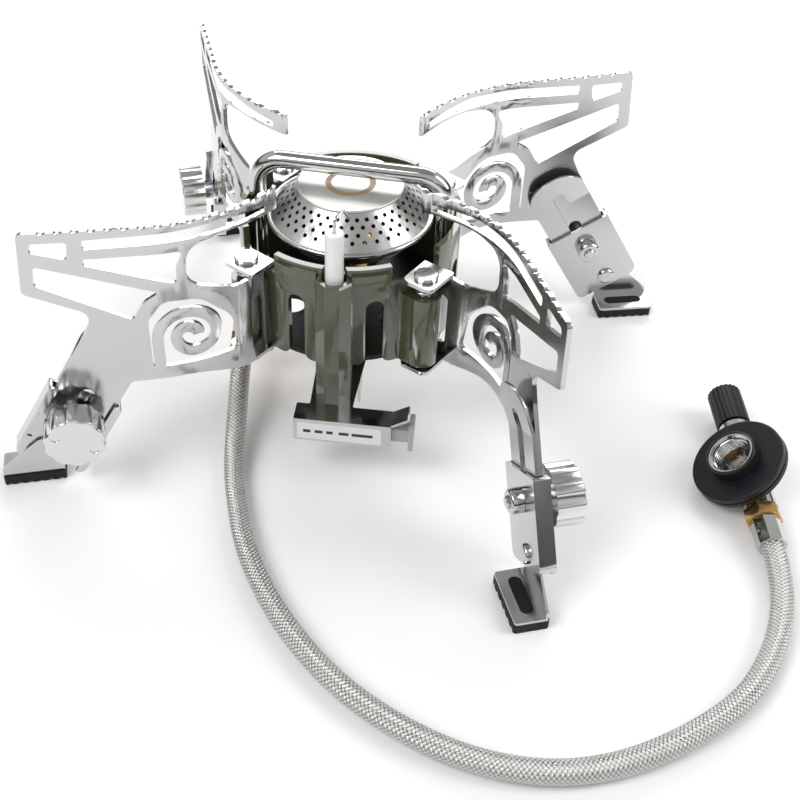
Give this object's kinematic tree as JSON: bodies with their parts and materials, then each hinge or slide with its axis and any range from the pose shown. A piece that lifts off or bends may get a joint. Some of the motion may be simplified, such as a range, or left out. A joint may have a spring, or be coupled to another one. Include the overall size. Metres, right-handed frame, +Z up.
{
  "type": "canister stove",
  "caption": "Remote-canister camping stove with folding telescopic legs, preheat loop, enamel windshield, piezo igniter, braided hose and screw-on valve.",
  "frame": {"origin": "on the ground, under the axis of the burner", "axes": "+Z up along the burner axis; the first leg points to +X and the igniter to -Y"},
  "size_m": [0.2307, 0.2564, 0.0879],
  "materials": {
    "stainless_steel": "mirror-polished stainless sheet",
    "bright_steel": "polished steel",
    "burner_steel": "satin stainless",
    "olive_enamel": "gloss enamel",
    "black_enamel": "heat-proof black, satin",
    "black_plastic": "moulded, satin",
    "grey_plastic": "moulded, satin",
    "black_rubber": "matte",
    "white_ceramic": "glazed ceramic",
    "brass": "machined",
    "turned_aluminium": "turned, satin",
    "braided_hose": "wire braid over rubber"
  },
  "bodies": {
    "root": {"burner_bowl": "black_enamel", "burner_grille": "burner_steel", "centre_plate": "burner_steel", "electrode_ceramic": "white_ceramic", "electrode_wire": "bright_steel", "floor_plate": "black_enamel", "gas_hose": "braided_hose", "gas_jet": "brass", "hinge_pins": "bright_steel", "hinge_springs": "bright_steel", "hose_ferrule": "bright_steel", "hose_nut": "brass", "igniter_body": "black_plastic", "igniter_bracket": "stainless_steel", "inlet_fitting": "brass", "mixer_tube": "brass", "preheat_tube": "bright_steel", "valve_body": "bright_steel", "valve_disc": "black_plastic", "valve_pin": "brass", "valve_socket": "bright_steel", "windshield": "olive_enamel"},
    "leg_1": {"leg_sheet_1": "stainless_steel", "leg_rail_1": "stainless_steel"},
    "slider_1": {"slide_channel_1": "stainless_steel", "clamp_nut_1": "bright_steel", "foot_rivet_1": "bright_steel"},
    "knob_1": {"clamp_knob_1": "turned_aluminium", "clamp_screw_1": "bright_steel"},
    "foot_1": {"foot_plate_1": "stainless_steel", "foot_pad_1": "black_rubber"},
    "leg_2": {"leg_sheet_2": "stainless_steel", "leg_rail_2": "stainless_steel"},
    "slider_2": {"slide_channel_2": "stainless_steel", "clamp_nut_2": "bright_steel", "foot_rivet_2": "bright_steel"},
    "knob_2": {"clamp_knob_2": "turned_aluminium", "clamp_screw_2": "bright_steel"},
    "foot_2": {"foot_plate_2": "stainless_steel", "foot_pad_2": "black_rubber"},
    "leg_3": {"leg_sheet_3": "stainless_steel", "leg_rail_3": "stainless_steel"},
    "slider_3": {"slide_channel_3": "stainless_steel", "clamp_nut_3": "bright_steel", "foot_rivet_3": "bright_steel"},
    "knob_3": {"clamp_knob_3": "turned_aluminium", "clamp_screw_3": "bright_steel"},
    "foot_3": {"foot_plate_3": "stainless_steel", "foot_pad_3": "black_rubber"},
    "leg_4": {"leg_sheet_4": "stainless_steel", "leg_rail_4": "stainless_steel"},
    "slider_4": {"slide_channel_4": "stainless_steel", "clamp_nut_4": "bright_steel", "foot_rivet_4": "bright_steel"},
    "knob_4": {"clamp_knob_4": "turned_aluminium", "clamp_screw_4": "bright_steel"},
    "foot_4": {"foot_plate_4": "stainless_steel", "foot_pad_4": "black_rubber"},
    "igniter_button": {"igniter_button": "grey_plastic"},
    "valve_knob": {"valve_knob": "black_plastic"}
  },
  "joints": [
    {"name": "leg_fold_1", "type": "hinge", "parent": "root", "child": "leg_1", "pos_m": [0.03, 0.0204, 0.045], "axis": [0, 0, 1], "range_deg": [-92, 8]},
    {"name": "leg_slide_1", "type": "slide", "parent": "leg_1", "child": "slider_1", "axis": [0.5193, 0.0418, -0.8536], "range_m": [-0.009, 0]},
    {"name": "clamp_turn_1", "type": "hinge", "parent": "slider_1", "child": "knob_1", "pos_m": [0.08235, 0.04104, 0.02496], "axis": [0.0802, -0.9968, 0], "range_deg": [0, 360]},
    {"name": "foot_swivel_1", "type": "hinge", "parent": "slider_1", "child": "foot_1", "pos_m": [0.0908, 0.04042, 0.0128], "axis": [0.0802, -0.9968, 0], "range_deg": [-10, 10]},
    {"name": "leg_fold_2", "type": "hinge", "parent": "root", "child": "leg_2", "pos_m": [-0.0204, 0.03, 0.045], "axis": [0, 0, 1], "range_deg": [-92, 0.7]},
    {"name": "leg_slide_2", "type": "slide", "parent": "leg_2", "child": "slider_2", "axis": [-0.1074, 0.5098, -0.8536], "range_m": [-0.009, 0]},
    {"name": "clamp_turn_2", "type": "hinge", "parent": "slider_2", "child": "knob_2", "pos_m": [-0.04752, 0.07931, 0.02496], "axis": [0.9785, 0.2062, 0], "range_deg": [0, 360]},
    {"name": "foot_swivel_2", "type": "hinge", "parent": "slider_2", "child": "foot_2", "pos_m": [-0.04798, 0.08777, 0.0128], "axis": [0.9785, 0.2062, 0], "range_deg": [-10, 10]},
    {"name": "leg_fold_3", "type": "hinge", "parent": "root", "child": "leg_3", "pos_m": [-0.03, -0.0204, 0.045], "axis": [0, 0, 1], "range_deg": [-92, 3.5]},
    {"name": "leg_slide_3", "type": "slide", "parent": "leg_3", "child": "slider_3", "axis": [-0.5145, -0.0824, -0.8536], "range_m": [-0.009, 0]},
    {"name": "clamp_turn_3", "type": "hinge", "parent": "slider_3", "child": "knob_3", "pos_m": [-0.08057, -0.04508, 0.02496], "axis": [-0.1582, 0.9874, 0], "range_deg": [0, 360]},
    {"name": "foot_swivel_3", "type": "hinge", "parent": "slider_3", "child": "foot_3", "pos_m": [-0.08905, -0.04512, 0.0128], "axis": [-0.1582, 0.9874, 0], "range_deg": [-10, 10]},
    {"name": "leg_fold_4", "type": "hinge", "parent": "root", "child": "leg_4", "pos_m": [0.0204, -0.03, 0.045], "axis": [0, 0, 1], "range_deg": [-92, 1.6], "deforming": ["gas_hose"]},
    {"name": "leg_slide_4", "type": "slide", "parent": "leg_4", "child": "slider_4", "axis": [0.0994, -0.5114, -0.8536], "range_m": [-0.009, 0]},
    {"name": "clamp_turn_4", "type": "hinge", "parent": "slider_4", "child": "knob_4", "pos_m": [0.04675, -0.07973, 0.02496], "axis": [-0.9816, -0.1908, 0], "range_deg": [0, 360]},
    {"name": "foot_swivel_4", "type": "hinge", "parent": "slider_4", "child": "foot_4", "pos_m": [0.04707, -0.08819, 0.0128], "axis": [-0.9816, -0.1908, 0], "range_deg": [-10, 10]},
    {"name": "igniter_press", "type": "slide", "parent": "root", "child": "igniter_button", "axis": [-0.9877, 0.1564, 0], "range_m": [0, 0.0035], "stiffness_N_per_m": 1200, "springref_m": -0.001},
    {"name": "valve_turn", "type": "hinge", "parent": "root", "child": "valve_knob", "pos_m": [0.11785, -0.03317, 0.00688], "axis": [0.024, 0.998, 0.0581], "range_deg": [0, 540]}
  ]
}
